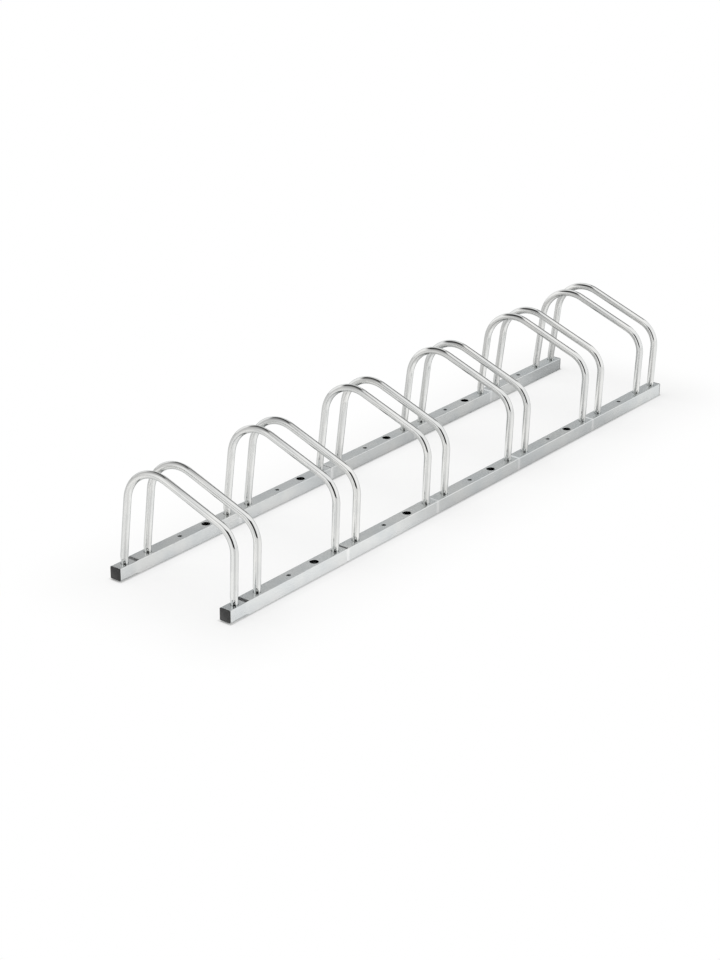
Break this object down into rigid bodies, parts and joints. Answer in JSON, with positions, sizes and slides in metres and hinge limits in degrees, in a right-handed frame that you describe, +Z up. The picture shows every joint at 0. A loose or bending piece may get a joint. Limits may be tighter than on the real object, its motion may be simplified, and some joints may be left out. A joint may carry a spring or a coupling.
{
  "type": "bicycle rack",
  "caption": "Floor rack for bicycles: pairs of bent tube hoops, tall behind and low in front, stand in two square tube rails whose segments plug together.",
  "frame": {"origin": "On the ground, under the middle of the rack's bounding box", "axes": "+X along the rails from the pressed-down tube ends to the full ones, +Y from the front rail (low side of the hoops) to the rear rail (tall side), +Z up"},
  "size_m": [1.6036, 0.323, 0.2526],
  "materials": {
    "zinc_rail": "zinc plated, fine drawn lines along the tube",
    "zinc_hoop": "bright zinc plated, smooth",
    "black_plastic": "moulded, matt"
  },
  "bodies": {
    "root": {"front_rail_1": "zinc_rail", "front_rail_2": "zinc_rail", "front_rail_3": "zinc_rail", "front_rail_4": "zinc_rail", "front_rail_5": "zinc_rail", "rear_rail_1": "zinc_rail", "rear_rail_2": "zinc_rail", "rear_rail_3": "zinc_rail", "rear_rail_4": "zinc_rail", "rear_rail_5": "zinc_rail", "hoop_1_left": "zinc_hoop", "hoop_1_right": "zinc_hoop", "hoop_2_left": "zinc_hoop", "hoop_2_right": "zinc_hoop", "hoop_3_left": "zinc_hoop", "hoop_3_right": "zinc_hoop", "hoop_4_left": "zinc_hoop", "hoop_4_right": "zinc_hoop", "hoop_5_left": "zinc_hoop", "hoop_5_right": "zinc_hoop", "hoop_6_left": "zinc_hoop", "hoop_6_right": "zinc_hoop", "end_cap_front_left": "black_plastic", "end_cap_front_right": "black_plastic", "end_cap_rear_left": "black_plastic", "end_cap_rear_right": "black_plastic"}
  },
  "joints": []
}
